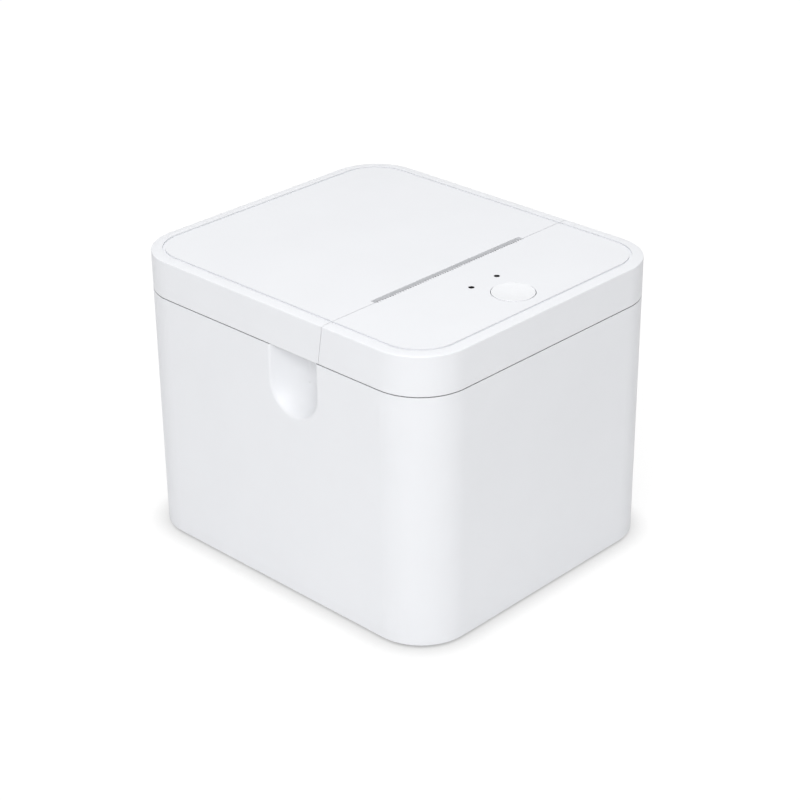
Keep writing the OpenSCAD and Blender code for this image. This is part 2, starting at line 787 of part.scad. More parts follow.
module guide(s) {
  // s is -1 for the left guide, and the rack reaches past the middle to the pinion
  p = PI * gear_m;
  x_in = guide_x;
  color("silver") scale_x(s) {
    // Cheek that the roll bears on, with a raised rim and ribs outside
    side_profile(x_in, x_in + guide_t * 0.6) guide_face(bay_r - 0.5);
    side_profile(x_in + guide_t * 0.6 - eps, x_in + guide_t + 1.2) difference() {
      guide_face(bay_r - 0.5);
      guide_face(bay_r - 2.1, 1.6);
    }
    side_profile(x_in + guide_t * 0.6 - eps, x_in + guide_t + 0.6) intersection() {
      guide_face(bay_r - 1);
      translate([bay_y, bay_z - guide_up]) for (a = [0:45:135]) rotate(a) square([2 * bay_r, 1.4], center = true);
    }
  }
  rack_y = bay_y + s * rack_pitch_r;
  back = s * (gear_m + rack_back);
  color("silver") {
    // Neck through the trough
    box([s * neck_x - guide_t / 2, bay_y + s * neck_y - neck_w / 2, rack_z],
      [s * neck_x + guide_t / 2, bay_y + s * neck_y + neck_w / 2, bay_z - bay_r + 4]);
    // Rack under the trough
    translate([0, rack_y, rack_z]) linear_extrude(rack_h) {
      x_out = s * (guide_x + guide_t);
      x_end = -s * rack_over;
      translate([min(x_out, x_end), min(s * gear_m * 1.1, back)])
        square([abs(x_out - x_end), abs(back - s * gear_m * 1.1)]);
      scale([1, -s]) rack_teeth(rack_count, rack_from(s));
    }
  }
}
rack_over = 6;
rack_count = floor((guide_travel + rack_over + 5) / (PI * gear_m));
// The pinion has a tooth on the +X side; a quarter turn on, a rack tooth or gap faces it
function rack_from(s) = rack_shift + (s < 0 ? -floor(rack_count - 3) * PI * gear_m : -2 * PI * gear_m);
rack_shift = rack_n % 4 == 0 ? PI * gear_m / 2 : 0;

module scale_x(s) {
  if (s < 0) mirror([1, 0, 0]) children();
  else children();
}

guide_w = 50;
guide_up = 14; // reach above the roll's axis
module guide_face(r, inset = 0) {
  intersection() {
    translate([bay_y, bay_z]) circle(r);
    translate([bay_y - guide_w / 2 + inset, 0]) square([guide_w - 2 * inset, bay_z + guide_up - inset]);
  }
}

module guide_left() guide(-1);
module guide_right() guide(1);

module guide_pinion() {
  color("whitesmoke") difference() {
    translate([0, bay_y, rack_z]) linear_extrude(rack_h) gear_outline(rack_n, 0);
    post(0, bay_y, rack_z - 1, rack_z + rack_h + 1, 2 + run_gap);
  }
}

// ---- printing mechanism ----

frame_front = motor_y - motor_r - 3;
frame_back = platen_y + 8;
frame_top = platen_z + 3.4;
foot_flange = 9;
frame_spots = [for (x = [-1, 1], y = [frame_front + 16, frame_back - 6])
  [x * (frame_x + frame_t + 5), y]];

module frame_plate() {
  difference() {
    side_profile(frame_x, frame_x + frame_t) difference() {
      polygon([[frame_front, floor_z], [frame_back, floor_z], [frame_back, frame_top],
        [pivot_y - 9, frame_top], [frame_front, motor_z + motor_r + 6]]);
      translate([platen_y, platen_z]) circle(bush_r + notch_gap);
      translate([platen_y - bush_r - notch_gap, platen_z]) square([2 * (bush_r + notch_gap), 40]);
      translate([(frame_front + frame_back) / 2, floor_z + 16]) circle(9);
    }
    rod(frame_x - 1, frame_x + 4, pivot_y, pivot_z, pivot_r);
  }
  box([frame_x, frame_front, floor_z], [frame_x + frame_t + foot_flange, frame_back, floor_z + frame_t]);
}

module side_frames() {
  color("silver") difference() {
    union() {
      both_sides() frame_plate();
      // Bar that the head springs press against
      box([-frame_x - eps, spring_y - frame_t, pivot_z + 8], [frame_x + eps, spring_y, frame_top]);
    }
    for (p = frame_spots) post(p[0], p[1], floor_z - 1, floor_z + 3, 1.3);
    rod(frame_x - 1, frame_x + 4, motor_y, motor_z, motor_boss_r + 0.1);
    for (s = [-1, 1]) rod(frame_x - 1, frame_x + 4, motor_y, motor_z + s * motor_ear, 1.3);
    for (c = stud_spots) rod(frame_x - 1, frame_x + 4, c[0], c[1], stud_r);
  }
}
stud_spots = [[platen_y, idler_z], [reduction_y, reduction_z]];
motor_boss_r = 5;
motor_ear = motor_r + 3;

frame_head_r = 2.9;
module frame_screws() {
  color("silver") for (p = frame_spots)
    screw_up(p[0], p[1], base_z, frame_head_r, head_sink, screw_shank_r, base_t + 0.8);
}

module drive_motor() {
  color("darkslategray") difference() {
    union() {
      rod(frame_x - motor_l, frame_x - 1, motor_y, motor_z, motor_r);
      rod(frame_x - 1 - eps, frame_x + frame_t, motor_y, motor_z, motor_boss_r);
      side_profile(frame_x - 1 - eps, frame_x) {
        translate([motor_y, motor_z]) circle(motor_r);
        translate([motor_y - 3.2, motor_z - motor_ear]) square([6.4, 2 * motor_ear]);
        for (s = [-1, 1]) translate([motor_y, motor_z + s * motor_ear]) circle(3.2);
      }
      box([frame_x - motor_l, motor_y - 7, motor_z - motor_r - 3],
        [frame_x - motor_l + 9, motor_y + 7, motor_z - motor_r + 3]);
    }
    rod(frame_x - motor_l + 4, frame_x + 4, motor_y, motor_z, motor_shaft_r + run_gap);
    for (s = [-1, 1]) rod(frame_x - 4, frame_x + 1, motor_y, motor_z + s * motor_ear, 1.3);
  }
}

module motor_screws() {
  color("dimgray") for (s = [-1, 1]) {
    rod(frame_x - 2.2, frame_x + frame_t + eps, motor_y, motor_z + s * motor_ear, 1.3);
    rod(frame_x + frame_t, frame_x + frame_t + 1.6, motor_y, motor_z + s * motor_ear, 2.6);
  }
}

module motor_shaft() {
  color("silver") rod(frame_x - motor_l + 5, outer_x + gear_w + 0.5, motor_y, motor_z, motor_shaft_r);
}

module motor_pinion() {
  color("goldenrod") difference() {
    union() {
      gear_x(pinion_n, pinion_turn, outer_x, outer_x + gear_w, motor_y, motor_z);
      rod(gear_x + 0.6, outer_x + eps, motor_y, motor_z, gear_m * pinion_n / 2 - 1.4);
    }
    rod(gear_x - 1, outer_x + gear_w + 1, motor_y, motor_z, motor_shaft_r);
  }
}

// Steel studs riveted in the side frame
module gear_studs() {
  color("silver") {
    rod(frame_x, gear_x + gear_w + 0.2, platen_y, idler_z, stud_r);
    rod(frame_x, outer_x + gear_w + 1.2, reduction_y, reduction_z, stud_r);
    rod(outer_x + gear_w + 0.3, outer_x + gear_w + 1.2, reduction_y, reduction_z, stud_r + 1.4);
  }
}

module reduction_gear() {
  color("whitesmoke") difference() {
    union() {
      gear_x(small_n, small_turn, gear_x, outer_x + eps, reduction_y, reduction_z);
      difference() {
        gear_x(large_n, small_turn, outer_x, outer_x + gear_w, reduction_y, reduction_z);
        // Web thinned between hub and rim
        rod(outer_x + gear_w - 0.9, outer_x + gear_w + 1, reduction_y, reduction_z,
          gear_m * large_n / 2 - 2.6);
      }
      rod(outer_x, outer_x + gear_w, reduction_y, reduction_z, 3.4);
      rod(frame_x + frame_t + 0.3, gear_x + eps, reduction_y, reduction_z, 3.4);
    }
    rod(frame_x, outer_x + gear_w + 3, reduction_y, reduction_z, stud_r + run_gap);
  }
}

module idler_gear() {
  color("whitesmoke") difference() {
    union() {
      gear_x(idler_n, idler_turn, gear_x, gear_x + gear_w, platen_y, idler_z);
      rod(frame_x + frame_t + 0.3, gear_x + eps, platen_y, idler_z, 3.4);
    }
    rod(frame_x, gear_x + gear_w + 3, platen_y, idler_z, stud_r + run_gap);
  }
}

module head_pivot_pin() {
  color("silver") rod(-frame_x - frame_t, frame_x + frame_t, pivot_y, pivot_z, pivot_r);
}

// Ceramic strip; the glaze ridge across it carries the heating dots and faces the platen
glaze_r = 1.2;
head_below = 5;
module print_head() {
  color("burlywood") side_profile(-head_w / 2, head_w / 2) {
    translate([sink_y, platen_z - head_below]) square([head_t, head_below + head_above]);
    intersection() {
      translate([head_y + glaze_proud - glaze_r, platen_z]) circle(glaze_r);
      translate([sink_y + head_t / 2, platen_z - glaze_r]) square(2 * glaze_r);
    }
  }
}

module head_heatsink() {
  color("lightgray") difference() {
    union() {
      side_profile(-head_w / 2, head_w / 2) translate([sink_y - sink_t, sink_z]) square([sink_t, sink_h]);
      both_sides() side_profile(head_w / 2 - 6, head_w / 2 - 3) {
        translate([pivot_y, pivot_z]) circle(3);
        translate([pivot_y, pivot_z - 3]) square([sink_y - sink_t - pivot_y + eps, 6]);
      }
      // Seats of the springs
      for (x = spring_spots) translate([x, sink_y - sink_t, platen_z]) rotate([90, 0, 0])
        cylinder(h = 1.2, r = 1.6);
    }
    rod(-span / 2, span / 2, pivot_y, pivot_z, pivot_r + run_gap);
    // Cooling grooves in the front of the sink
    for (i = [-4:4]) box([i * 4 - 0.8, sink_y - sink_t - 1, sink_z - 1],
      [i * 4 + 0.8, sink_y - sink_t + 1.4, sink_z + sink_h + 1]);
  }
}
spring_spots = [-26, 26];

module head_springs() {
  gap = sink_y - sink_t - spring_y;
  turns = 4;
  wire = 0.7;
  color("silver") for (x = spring_spots) for (i = [0:turns])
    translate([x, spring_y + wire / 2 + (gap - wire) * i / turns, platen_z]) rotate([90, 0, 0])
      rotate_extrude() translate([2.6, 0]) circle(wire / 2, $fn = 16);
}

// Flat ribbon along a run of points in the Y-Z plane, mitred at its bends
function along(points, i) = let (d = points[i + 1] - points[i]) d / norm(d);
function across(d) = [-d[1], d[0]];
function mitre(points, i) =
  i == 0 ? across(along(points, 0)) :
  i == len(points) - 1 ? across(along(points, i - 1)) :
  let (a = across(along(points, i - 1)), b = across(along(points, i))) (a + b) / (1 + a * b);

module ribbon(points, x0, x1, t) {
  last = len(points) - 1;
  side_profile(x0, x1) polygon(concat(
    [for (i = [0:last]) points[i] + mitre(points, i) * t / 2],
    [for (i = [last:-1:0]) points[i] - mitre(points, i) * t / 2]));
}

ribbon_t = 0.4;
head_ribbon_x = [-23, 5];
panel_ribbon_x = [-38, -28];
module head_ribbon() {
  y0 = sink_y - sink_t - 0.3;
  color("ivory") ribbon([[y0, sink_z + 6], [y0, sink_z - 1], [y0 - 3, sink_z - 6],
    [y0 - 3, floor_z + 12], [y0 + 2, floor_z + 6], [main_front + 1.5, main_top + 1.4]],
    head_ribbon_x[0], head_ribbon_x[1], ribbon_t);
}

module panel_ribbon() {
  y0 = board_back - 3;
  color("ivory") ribbon([[y0, panel_z - 1.2], [y0, floor_z + 9], [y0 + 5, floor_z + 4],
    [main_front + 1.5, main_top + 1]], panel_ribbon_x[0], panel_ribbon_x[1], ribbon_t);
}

// ---- electronics ----

module main_board() {
  color("seagreen") difference() {
    box([-main_w / 2, main_front, main_z], [main_w / 2, main_back, main_top]);
    for (p = pillar_spots) post(p[0], p[1], main_z - 1, main_top + 1, 1.2);
  }
}

// Processor, motor driver, two capacitors and the two ribbon sockets, placed from the board's middle
main_mid = (main_front + main_back) / 2;
chips = [[0, 0, 16, 1.4], [main_w / 4, -17, 10, 1.2]]; // x, y, width, height
capacitor_spots = [[-main_w / 5, 20], [main_w / 5, 18]];
capacitor_r = 4;
capacitor_h = 3;
socket_d = 4.5;
module ribbon_socket(reach, over, h) {
  box([reach[0] - over, main_front + 0.5, main_top], [reach[1] + over, main_front + 0.5 + socket_d, main_top + h]);
}

module board_parts() {
  color("black") {
    for (c = chips) box([c[0] - c[2] / 2, main_mid + c[1] - c[2] / 2, main_top],
      [c[0] + c[2] / 2, main_mid + c[1] + c[2] / 2, main_top + c[3]]);
    for (p = capacitor_spots) post(p[0], main_mid + p[1], main_top, main_top + capacitor_h, capacitor_r);
    ribbon_socket(head_ribbon_x, 3, 0.9);
    ribbon_socket(panel_ribbon_x, 1, 0.6);
  }
}

module dc_jack() {
  y1 = back_y - 0.4;
  color("black") difference() {
    box([jack_x - jack_size[0] / 2, y1 - jack_size[1], main_top],
      [jack_x + jack_size[0] / 2, y1, main_top + jack_size[2]]);
    translate([jack_x, y1 - jack_hole_d, main_top + jack_size[2] / 2]) rotate([-90, 0, 0])
      cylinder(h = 2 * jack_hole_d, r = jack_hole_r);
  }
  color("silver") translate([jack_x, y1 - jack_hole_d - eps, main_top + jack_size[2] / 2])
    rotate([-90, 0, 0]) cylinder(h = jack_hole_d - 1.5, r = jack_pin_r);
}

module usb_port() {
  y1 = back_y - 0.4;
  z0 = main_top;
  color("silver") difference() {
    box([usb_x - usb_size[0] / 2, y1 - usb_size[1], z0], [usb_x + usb_size[0] / 2, y1, z0 + usb_size[2]]);
    box([usb_x - usb_size[0] / 2 + 0.8, y1 - 10, z0 + 0.8],
      [usb_x + usb_size[0] / 2 - 0.8, y1 + 1, z0 + usb_size[2] - 0.8]);
  }
  color("black") box([usb_x - 2.8, y1 - 10 - eps, z0 + usb_size[2] / 2 - 1.6],
    [usb_x + 2.8, y1 - 1, z0 + usb_size[2] / 2 + 1.6]);
}

bezel_t = 1;
bezel_w = 1.6;
rocker_gap = 0.3;
module power_switch() {
  y1 = back_y - wall;
  color("black") difference() {
    union() {
      box([switch_x - switch_w / 2 + 0.1, y1 - switch_l, switch_z - switch_h / 2 + 0.1],
        [switch_x + switch_w / 2 - 0.1, back_y, switch_z + switch_h / 2 - 0.1]);
      // Flange behind the wall
      box([switch_x - switch_w / 2 - bezel_w, y1 - 1.4, switch_z - switch_h / 2 - bezel_w],
        [switch_x + switch_w / 2 + bezel_w, y1, switch_z + switch_h / 2 + bezel_w]);
    }
    box([switch_x - switch_w / 2 + bezel_t, back_y - 7, switch_z - switch_h / 2 + bezel_t],
      [switch_x + switch_w / 2 - bezel_t, back_y + 1, switch_z + switch_h / 2 - bezel_t]);
    post(switch_x, rocker_y, switch_z - switch_h / 2 + 0.2, switch_z + switch_h / 2 - 0.2, rocker_pin_r + run_gap);
  }
}
rocker_pin_r = 0.8;
rocker_y = back_y - 3.4;

// Rocker that tips about an upright pin; at rest its left end is pressed in
module power_rocker() {
  half = switch_w / 2 - bezel_t - rocker_gap;
  tall = switch_h - 2 * bezel_t - 2 * rocker_gap;
  color("black") translate([switch_x, rocker_y, switch_z]) rotate(rocker_tilt / 2) {
    linear_extrude(tall, center = true) intersection() {
      polygon([[-half + 0.4, -1.6], [half - 0.4, -1.6], [half - 0.3, 1.3], [0, 2.1], [-half + 0.3, 1.3]]);
      circle(half);
    }
    cylinder(h = switch_h - 2 * bezel_t + 1.2, r = rocker_pin_r, center = true);
  }
}

module button_board() {
  color("seagreen") difference() {
    box([-board_w / 2, board_front, panel_z], [board_w / 2, board_back, panel_z + board_t]);
    for (p = panel_spots) post(p[0], p[1], panel_z - 1, panel_z + 4, board_screw_r);
  }
}

module board_screws() {
  color("silver") for (p = panel_spots) {
    post(p[0], p[1], panel_z - 1.2, panel_z, 2.2);
    post(p[0], p[1], panel_z - eps, panel_z + board_t + 5, board_screw_r);
  }
}

module tact_switch() {
  z0 = panel_z + board_t;
  color("black") difference() {
    box([-tact_w / 2, -button_ahead - tact_w / 2, z0], [tact_w / 2, -button_ahead + tact_w / 2, z0 + tact_h]);
    post(0, -button_ahead, z0 + 1, z0 + tact_h + 1, plunger_r + run_gap);
  }
}

module switch_plunger() {
  z0 = panel_z + board_t;
  color("dimgray") post(0, -button_ahead, z0 + 1 + button_travel + 0.3, z0 + tact_h + 1.2, plunger_r);
}

// Dished button: a flat rim, a bevel inside it and a shallow dish
button_rim = 1.2;
bevel = 0.35;
dish_sag = 0.4;
module feed_button() {
  z1 = top_z + button_proud;
  dish_edge = button_r - button_rim - bevel;
  dish_r = (pow(dish_edge, 2) + pow(dish_sag, 2)) / (2 * dish_sag);
  color("white") difference() {
    union() {
      translate([0, -button_ahead, cap_z - 1.2]) round_column(button_r, 0.5, 0.2, z1 - cap_z + 1.2);
      post(0, -button_ahead, cap_z - 1.2, cap_z + 1.15, button_r + button_flange);
      post(0, -button_ahead, panel_z + board_t + tact_h + 1.2, cap_z, 2.4);
    }
    translate([0, -button_ahead, z1 - bevel]) {
      cylinder(h = 2 * bevel, r1 = dish_edge, r2 = dish_edge + 2 * bevel);
      translate([0, 0, dish_r - dish_sag]) sphere(dish_r, $fn = 200);
    }
  }
}

module lamps() {
  z0 = panel_z + board_t;
  color("lightyellow") for (s = [-1, 1])
    box([s * lamp_pitch / 2 - 1.2, -lamp_ahead - 0.8, z0], [s * lamp_pitch / 2 + 1.2, -lamp_ahead + 0.8, z0 + 0.9]);
}

// Light guides, each with a flange that is bonded under the cover
sleeve_t = 0.2;
window_r = lamp_r - 0.05 - sleeve_t - 0.05;
module lamp_windows() {
  z0 = panel_z + board_t + 1.1;
  color("whitesmoke") for (s = [-1, 1]) {
    post(s * lamp_pitch / 2, -lamp_ahead, z0, top_z - lamp_sink, window_r);
    post(s * lamp_pitch / 2, -lamp_ahead, under_z - 1.6, under_z, lamp_r + 1.2);
  }
}

// Dark sleeves round the light guides, which keep their light out of the white cover
module lamp_sleeves() {
  color("black") for (s = [-1, 1]) difference() {
    post(s * lamp_pitch / 2, -lamp_ahead, under_z, top_z - 0.05, lamp_r - 0.05);
    post(s * lamp_pitch / 2, -lamp_ahead, under_z - 1, top_z + 1, lamp_r - 0.05 - sleeve_t);
  }
}

// Optical sensor with a flange under the lip
module gap_sensor() {
  z0 = lip_z - 2 * lip_r;
  color("black") {
    box([-5.8, lip_front + 3.2, z0 - eps], [5.8, lip_front + 6.8, lip_z - 0.3]);
    box([-8, lip_front + 2.2, z0 - 1.2], [8, lip_front + 7.4, z0]);
  }
}

// Fork-shaped light barrier on the left side frame, ahead of the thumb scoop, which the rear
// cover's flag enters
fork_w = 5.4;
fork_d = 5.4;
fork_h = 9;
fork_slot = 2.6;
fork_floor = 3;
fork_y = -split_ahead + 5.7;
fork_z = platen_z - 16;
flag_x = -frame_x - frame_t - fork_w / 2;
flag_t = 1.2;
module cover_sensor() {
  color("black") difference() {
    box([flag_x - fork_w / 2, fork_y - fork_d / 2, fork_z],
      [flag_x + fork_w / 2, fork_y + fork_d / 2, fork_z + fork_h]);
    box([flag_x - fork_slot / 2, fork_y - fork_d, fork_z + fork_floor],
      [flag_x + fork_slot / 2, fork_y + fork_d, fork_z + fork_h + 1]);
  }
}

// ---- rear cover and what it carries ----

module hinge_pins() {
  color("silver") both_sides() rod(hinge_x - knuckle_x - knuckle_w, hinge_x + knuckle_x + knuckle_w,
    hinge_y, hinge_z, pin_r);
}

module rear_cover() {
  straight = side_x - corner_r;
  color("white") difference() {
    union() {
      difference() {
        intersection() {
          cover_shell();
          behind_split();
        }
        // Lower back edge rolled about the hinge axis
        difference() {
          box([-span / 2, hinge_y, 0], [span / 2, span / 2, hinge_z]);
          rod(-span / 2, span / 2, hinge_y, hinge_z, hinge_in);
        }
      }
      // Rolled edge, continued under the axis
      side_profile(-straight, straight) intersection() {
        difference() {
          translate([hinge_y, hinge_z]) circle(hinge_in);
          translate([hinge_y, hinge_z]) circle(hinge_in - wall + 0.2);
        }
        translate([hinge_y, hinge_z - hinge_in]) square([hinge_in, hinge_in + eps]);
      }
      both_sides() for (s = [-1, 1]) {
        x0 = hinge_x + (s > 0 ? knuckle_x : -knuckle_x - knuckle_w);
        side_profile(x0, x0 + knuckle_w) {
          translate([hinge_y, hinge_z]) circle(eye_r);
          translate([hinge_y - eye_r, hinge_z]) square([2 * eye_r, under_z - hinge_z + eps]);
        }
      }
      // Grip ledges over the thumb scoops
      both_sides() intersection() {
        slab(in_w + eps, in_d + eps, in_r, seam_z, seam_z + 2);
        post(scoop_x, -scoop_ahead, 0, span, scoop_r + scoop_wall);
        behind_split();
      }
      // Flag for the cover sensor
      box([flag_x - flag_t / 2, fork_y, fork_z + 4],
        [flag_x + flag_t / 2, fork_y + fork_d / 2, under_z + eps]);
      // Stiffening ribs under the top
      for (x = [-30, 0, 30]) box([x - 0.8, 4, under_z - 3], [x + 0.8, hinge_y - 8, under_z + eps]);
      for (p = bracket_spots) post(p[0], p[1], under_z - 0.5, under_z + eps, 3);
    }
    // Slot for the media, behind which the cover ends in a thin lip
    side_profile(-slot_w / 2, slot_w / 2) polygon([[-span / 2, 0], [slot_back_y + slot_lip, 0],
      [slot_back_y + slot_lip, top_z - slot_lip], [slot_back_y - slot_lean, top_z - slot_lip],
      [slot_back_y, top_z], [slot_back_y, span], [-span / 2, span]]);
    both_sides() rod(hinge_x - 20, hinge_x + 20, hinge_y, hinge_z, pin_r + run_gap);
    for (p = bracket_spots) post(p[0], p[1], under_z - 2, under_z + 1.2, 0.9);
  }
}
bracket_spots = [for (x = [-1, 0, 1]) [x * 34, platen_y + 10]];

bracket_t = 1.5;
bracket_reach = 15;
bracket_flange = 10;
ear_wall_t = 1.6;
heel_d = 8;
heel_down = 5.4;
module platen_bracket() {
  z1 = under_z - 0.5;
  color("silver") difference() {
    union() {
      box([-arm_in - arm_t, platen_y + bracket_reach - bracket_flange, z1 - bracket_t],
        [arm_in + arm_t, platen_y + bracket_reach, z1]);
      both_sides() side_profile(arm_in, arm_in + arm_t) difference() {
        union() {
          translate([platen_y, platen_z]) circle(bush_r + ear_wall_t);
          translate([platen_y, platen_z]) square([bracket_reach, z1 - platen_z]);
          translate([platen_y, platen_z - heel_down]) square([heel_d, heel_down + 0.6]);
        }
      }
    }
    both_sides() rod(arm_in - 1, arm_in + arm_t + 1, platen_y, platen_z, bush_r);
    for (p = bracket_spots) post(p[0], p[1], z1 - 4, z1 + 1, 1.1);
  }
}

module bracket_screws() {
  z1 = under_z - 0.5 - bracket_t;
  color("silver") for (p = bracket_spots) {
    post(p[0], p[1], z1 - 1.2, z1, 2.2);
    post(p[0], p[1], z1 - eps, z1 + bracket_t + 1.5, 0.9);
  }
}

module platen_bushes() {
  color("ivory") both_sides() difference() {
    rod(arm_in, frame_x + frame_t + 0.3, platen_y, platen_z, bush_r);
    rod(arm_in - 1, frame_x + frame_t + 2, platen_y, platen_z, shaft_r + run_gap);
  }
}

module platen_roller() {
  color("dimgray") difference() {
    rod(-roller_l / 2, roller_l / 2, platen_y, platen_z, platen_r);
    rod(-roller_l / 2 - 1, roller_l / 2 + 1, platen_y, platen_z, shaft_r);
  }
}

module platen_shaft() {
  color("silver") rod(-frame_x - frame_t - 1.5, gear_x + gear_w + 0.6, platen_y, platen_z, shaft_r);
}

module platen_gear() {
  color("whitesmoke") difference() {
    gear_x(platen_n, platen_turn, gear_x, gear_x + gear_w, platen_y, platen_z);
    rod(gear_x - 1, gear_x + gear_w + 1, platen_y, platen_z, shaft_r);
  }
}

lower_housing();
front_cover();
base_plate();
rubber_feet();
base_screws();
media_bay();
bay_screws();
side_frames();
frame_screws();
tear_bar();
drive_motor();
motor_screws();
gear_studs();
head_pivot_pin();
head_springs();
head_ribbon();
panel_ribbon();
main_board();
board_parts();
dc_jack();
usb_port();
power_switch();
button_board();
board_screws();
tact_switch();
lamps();
lamp_windows();
lamp_sleeves();
gap_sensor();
cover_sensor();
hinge_pins();
rear_cover();
platen_bracket();
platen_bushes();
bracket_screws();
platen_roller();
platen_shaft();
platen_gear();
motor_shaft();
motor_pinion();
reduction_gear();
idler_gear();
print_head();
head_heatsink();
feed_button();
switch_plunger();
power_rocker();
guide_left();
guide_right();
guide_pinion();
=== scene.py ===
"""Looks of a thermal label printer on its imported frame: finishes, coil springs, tear comb and studio."""

import json
import math

import bpy
from mathutils import Matrix, Vector

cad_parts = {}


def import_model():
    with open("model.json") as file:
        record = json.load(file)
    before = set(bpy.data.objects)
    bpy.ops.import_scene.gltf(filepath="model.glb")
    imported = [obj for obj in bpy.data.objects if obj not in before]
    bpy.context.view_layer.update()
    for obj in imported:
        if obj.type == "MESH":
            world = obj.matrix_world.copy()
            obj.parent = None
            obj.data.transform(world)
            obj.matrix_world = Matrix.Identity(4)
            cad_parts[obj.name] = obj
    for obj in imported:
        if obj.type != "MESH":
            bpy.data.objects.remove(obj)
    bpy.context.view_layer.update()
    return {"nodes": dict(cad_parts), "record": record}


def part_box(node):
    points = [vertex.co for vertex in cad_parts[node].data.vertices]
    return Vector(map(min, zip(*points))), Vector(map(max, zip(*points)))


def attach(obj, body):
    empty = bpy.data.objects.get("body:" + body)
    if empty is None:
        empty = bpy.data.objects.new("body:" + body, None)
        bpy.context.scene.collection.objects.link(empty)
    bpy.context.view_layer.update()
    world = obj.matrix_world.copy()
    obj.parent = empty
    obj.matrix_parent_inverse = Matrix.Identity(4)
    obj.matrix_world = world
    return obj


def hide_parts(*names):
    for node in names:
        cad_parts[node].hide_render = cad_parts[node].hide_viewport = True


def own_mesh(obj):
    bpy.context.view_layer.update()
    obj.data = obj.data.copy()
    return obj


MM = 0.001
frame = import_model()


# ---- places read from the frame ----

def span(node):
    """Lowest and highest corner of a CAD node at rest."""
    lo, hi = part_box(node)
    return Vector(lo), Vector(hi)


def middle(node):
    lo, hi = span(node)
    return (lo + hi) / 2


# ---- node trees ----

class Value:
    """An output socket. Arithmetic on it adds Math nodes to its tree."""

    def __init__(self, tree, socket):
        self.tree = tree
        self.socket = socket

    def math(self, operation, first, second=0.0):
        return self.tree.node("ShaderNodeMath", {0: first, 1: second}, operation=operation)

    def __add__(self, other):
        return self.math("ADD", self, other)

    def __sub__(self, other):
        return self.math("SUBTRACT", self, other)

    def __rsub__(self, other):
        return self.math("SUBTRACT", other, self)

    def __mul__(self, other):
        return self.math("MULTIPLY", self, other)

    __radd__ = __add__

    def above(self, level):
        return self.math("GREATER_THAN", self, level)

    def size(self):
        return self.math("ABSOLUTE", self)

    def fraction(self):
        return self.math("FRACT", self)

    def other(self, output):
        return Value(self.tree, self.socket.node.outputs[output])


class Tree:
    """A tree of nodes, built up by one method."""

    def __init__(self, group):
        self.group = group

    def node(self, kind, inputs=None, output=0, **settings):
        made = self.group.nodes.new(kind)
        for name, value in settings.items():
            setattr(made, name, value)
        for key, value in (inputs or {}).items():
            if isinstance(value, Value):
                self.group.links.new(value.socket, made.inputs[key])
            else:
                made.inputs[key].default_value = value
        return Value(self, made.outputs[output])


# ---- finishes ----

class Finish(Tree):
    """A material of one Principled shader: constants sit on the shader, and fields vary over the surface."""

    def __init__(self, name, colour, roughness, **constants):
        self.material = bpy.data.materials.new(name)
        self.material.use_nodes = True
        super().__init__(self.material.node_tree)
        self.shader = self.group.nodes["Principled BSDF"]
        self.shown = (*colour, 1.0)
        self.roughness = roughness
        self.shader.inputs["Base Color"].default_value = self.shown
        self.shader.inputs["Roughness"].default_value = roughness
        for label, value in constants.items():
            self.shader.inputs[label.replace("_", " ").title().replace("Ior", "IOR")].default_value = value
        self.place = self.node("ShaderNodeTexCoord", output="Object")

    def feed(self, label, value):
        self.group.links.new(value.socket, self.shader.inputs[label])

    def noise(self, scale, detail=2.0, stretch=(1, 1, 1)):
        """Noise from 0 to 1, with scale in features a metre."""
        place = self.place
        if stretch != (1, 1, 1):
            place = self.node("ShaderNodeMapping", {"Vector": place, "Scale": stretch})
        return self.node("ShaderNodeTexNoise", {"Vector": place, "Scale": scale, "Detail": detail})

    def axis(self, name):
        return self.node("ShaderNodeSeparateXYZ", {0: self.place}, output=name)

    def stripes(self, along, pitch, share):
        """1 on bars across an axis, a share of the pitch wide, else 0."""
        phase = (self.axis(along) * (1 / pitch)).fraction()
        return 1 - phase.above(share)

    def tint(self, factor, other):
        """Shifts the colour reached so far towards another, by a factor that varies."""
        colours = {6: self.shown, 7: (*other, 1.0)}
        self.shown = self.node("ShaderNodeMix", {0: factor, **colours}, output=2, data_type="RGBA")
        self.feed("Base Color", self.shown)

    def near(self, node, reach, along):
        """1 within reach of the line through the middle of a CAD node, along an axis, else 0."""
        squares = 0.0
        for letter, centre in zip("XYZ", middle(node)):
            if letter != along:
                off = self.axis(letter) - centre
                squares = squares + off * off
        return 1 - squares.above(reach * reach)

    def vary_roughness(self, field, spread):
        self.feed("Roughness", self.roughness + (field - 0.5) * spread)

    def relief(self, height, depth):
        """Bump of a height from 0 to 1, depth metres deep."""
        bump = self.node("ShaderNodeBump", {"Height": height, "Distance": depth, "Strength": 1.0})
        self.feed("Normal", bump)


JOINT_GAP = 0.35 * MM  # between the covers and the housing
SHADE_BAND_HALF = 0.21 * MM  # half the height of the band of painted shade in it
# strength of the painted shade in the joint
JOINT_SHADE_DARK = 0.6
MOTTLE = 0.965  # darkest flow mark, as a share of the colour
GROOVE = 0.78  # darkest line in drawn or rolled steel, likewise


def moulded(name, colour, roughness, grain, grain_depth, **constants):
    """Moulded plastic: a fine spark-eroded grain, with faint flow mottling."""
    finish = Finish(name, colour, roughness, **constants)
    finish.tint(finish.noise(40, 3), tuple(c * MOTTLE for c in colour))
    finish.vary_roughness(finish.noise(260, 2), 0.08)
    finish.relief(finish.noise(grain, 3), grain_depth)
    return finish


def white_shell():
    """White moulding, with painted shade in a thin band along the joint between the covers and the housing.
    """
    finish = moulded("white_shell_finish", (0.80, 0.81, 0.835), 0.46, 3200, 7e-6)
    cover_foot = span("front_cover")[0].z
    # painted shade: a thin dark band along the joint, standing in for the shadow in the gap
    off = (finish.axis("Z") - (cover_foot - JOINT_GAP / 2)).size()
    joint_shade = 1 - off.above(SHADE_BAND_HALF)
    finish.tint(joint_shade * JOINT_SHADE_DARK, (0.25, 0.25, 0.26))
    return finish


